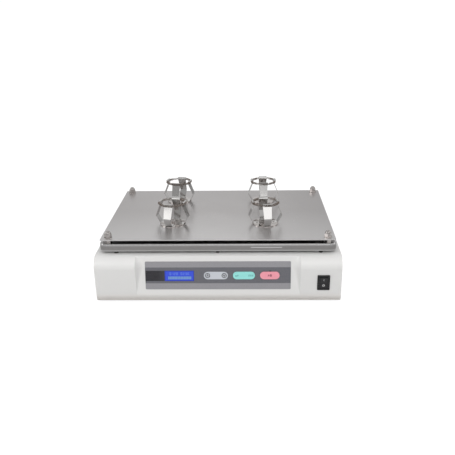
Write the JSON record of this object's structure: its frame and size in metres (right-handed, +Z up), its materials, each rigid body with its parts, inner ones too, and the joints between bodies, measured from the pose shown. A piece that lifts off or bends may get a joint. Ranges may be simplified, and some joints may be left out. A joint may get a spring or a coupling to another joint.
{
  "type": "orbital shaker",
  "caption": "Bench-top orbital laboratory shaker with a tilted control panel, a circling twin-deck platform and sprung cage clamps for flasks.",
  "frame": {"origin": "on the table, under the drive axis, at the centre of the casing's footprint", "axes": "+Z up along the drive axis, -Y towards the control panel, +X to the operator's right"},
  "size_m": [0.5104, 0.4104, 0.188],
  "materials": {
    "white_paint": "satin powder coat",
    "white_moulding": "fine satin texture",
    "satin_steel": "satin",
    "bright_steel": "bright",
    "zinc_steel": "zinc plated",
    "ground_steel": "ground",
    "iron": "painted",
    "cast_aluminium": "machined casting",
    "film_grey": "satin printed film",
    "screen_blue": "clear window over a blue display",
    "board_green": "solder resist",
    "black_plastic": "satin",
    "black_rubber": "matt",
    "grey_rubber": "matt",
    "cable_grey": "matt sheath",
    "key_lavender": "satin",
    "key_teal": "satin",
    "key_pink": "satin"
  },
  "bodies": {
    "casing": {"base_plate": "zinc_steel", "rubber_feet": "black_rubber", "foot_screws": "bright_steel", "front_fascia": "white_moulding", "main_cover": "white_paint", "rear_panel": "white_paint", "fascia_screws": "bright_steel", "side_screws": "bright_steel", "rear_screws": "bright_steel", "keypad_film": "film_grey", "display_window": "screen_blue", "lcd_module": "board_green", "keypad_board": "board_green", "key_switches": "black_plastic", "control_board": "board_green", "power_supply": "zinc_steel", "motor": "iron", "motor_bracket": "zinc_steel", "motor_screws": "zinc_steel", "drive_housing": "cast_aluminium", "guide_housings": "cast_aluminium", "lower_bearings": "ground_steel", "housing_bolts": "zinc_steel", "drive_belt": "grey_rubber", "mains_inlet": "black_plastic", "inlet_pins": "bright_steel", "inlet_screws": "bright_steel", "rocker_frame": "black_plastic", "mains_loom": "cable_grey", "motor_lead": "cable_grey"},
    "drive_crank": {"drive_shaft": "ground_steel", "drive_pulley": "cast_aluminium", "counterweight": "iron", "counterweight_screws": "zinc_steel"},
    "guide_fl": {"guide_crank_fl": "ground_steel"},
    "guide_fr": {"guide_crank_fr": "ground_steel"},
    "guide_bl": {"guide_crank_bl": "ground_steel"},
    "guide_br": {"guide_crank_br": "ground_steel"},
    "motor_rotor": {"motor_shaft": "ground_steel", "motor_pulley": "cast_aluminium"},
    "platform": {"tray": "satin_steel", "upper_housings": "cast_aluminium", "upper_bearings": "ground_steel", "tray_screws": "zinc_steel", "platform_plate": "satin_steel", "deck_nuts": "bright_steel", "corner_bolts": "zinc_steel", "dome_nuts": "bright_steel", "clamp_bases": "bright_steel", "clamp_fingers": "bright_steel", "clamp_springs": "bright_steel", "clamp_screws": "bright_steel", "clamp_rivets": "bright_steel"},
    "rocker": {"rocker_button": "black_plastic"},
    "up": {"key_up": "key_lavender"},
    "down": {"key_down": "key_lavender"},
    "enter": {"key_enter": "key_teal"},
    "mode": {"key_mode": "key_teal"},
    "run": {"key_run": "key_pink"},
    "fuse": {"fuse_drawer": "black_plastic"}
  },
  "joints": [
    {"name": "drive_spin", "type": "hinge", "parent": "casing", "child": "drive_crank", "pos_m": [0, 0, 0.06], "axis": [0, 0, 1], "continuous": true},
    {"name": "platform_orbit", "type": "hinge", "parent": "drive_crank", "child": "platform", "pos_m": [0, -0.01, 0.1165], "axis": [0, 0, 1], "continuous": true},
    {"name": "guide_fl_spin", "type": "hinge", "parent": "casing", "child": "guide_fl", "pos_m": [-0.185, -0.115, 0.06], "axis": [0, 0, 1], "continuous": true},
    {"name": "guide_fr_spin", "type": "hinge", "parent": "casing", "child": "guide_fr", "pos_m": [0.185, -0.115, 0.06], "axis": [0, 0, 1], "continuous": true},
    {"name": "guide_bl_spin", "type": "hinge", "parent": "casing", "child": "guide_bl", "pos_m": [-0.185, 0.115, 0.06], "axis": [0, 0, 1], "continuous": true},
    {"name": "guide_br_spin", "type": "hinge", "parent": "casing", "child": "guide_br", "pos_m": [0.185, 0.115, 0.06], "axis": [0, 0, 1], "continuous": true},
    {"name": "motor_spin", "type": "hinge", "parent": "casing", "child": "motor_rotor", "pos_m": [-0.15, 0, 0.06], "axis": [0, 0, 1], "continuous": true},
    {"name": "rocker_tilt", "type": "hinge", "parent": "casing", "child": "rocker", "pos_m": [0.216, -0.19974, 0.0476], "axis": [1, 0, 0], "range_deg": [-20, 0]},
    {"name": "up_press", "type": "slide", "parent": "casing", "child": "up", "axis": [0, 0.9928, -0.12], "range_m": [0, 0.0006]},
    {"name": "down_press", "type": "slide", "parent": "casing", "child": "down", "axis": [0, 0.9928, -0.12], "range_m": [0, 0.0006]},
    {"name": "enter_press", "type": "slide", "parent": "casing", "child": "enter", "axis": [0, 0.9928, -0.12], "range_m": [0, 0.0006]},
    {"name": "mode_press", "type": "slide", "parent": "casing", "child": "mode", "axis": [0, 0.9928, -0.12], "range_m": [0, 0.0006]},
    {"name": "run_press", "type": "slide", "parent": "casing", "child": "run", "axis": [0, 0.9928, -0.12], "range_m": [0, 0.0006]},
    {"name": "fuse_pull", "type": "slide", "parent": "casing", "child": "fuse", "axis": [0, 1, 0], "range_m": [0, 0.018]}
  ],
  "couplings": [
    {"joint": "platform_orbit", "follows": "drive_spin", "ratio": -1},
    {"joint": "guide_fl_spin", "follows": "drive_spin", "ratio": 1},
    {"joint": "guide_fr_spin", "follows": "drive_spin", "ratio": 1},
    {"joint": "guide_bl_spin", "follows": "drive_spin", "ratio": 1},
    {"joint": "guide_br_spin", "follows": "drive_spin", "ratio": 1},
    {"joint": "motor_spin", "follows": "drive_spin", "ratio": 3.3333}
  ]
}
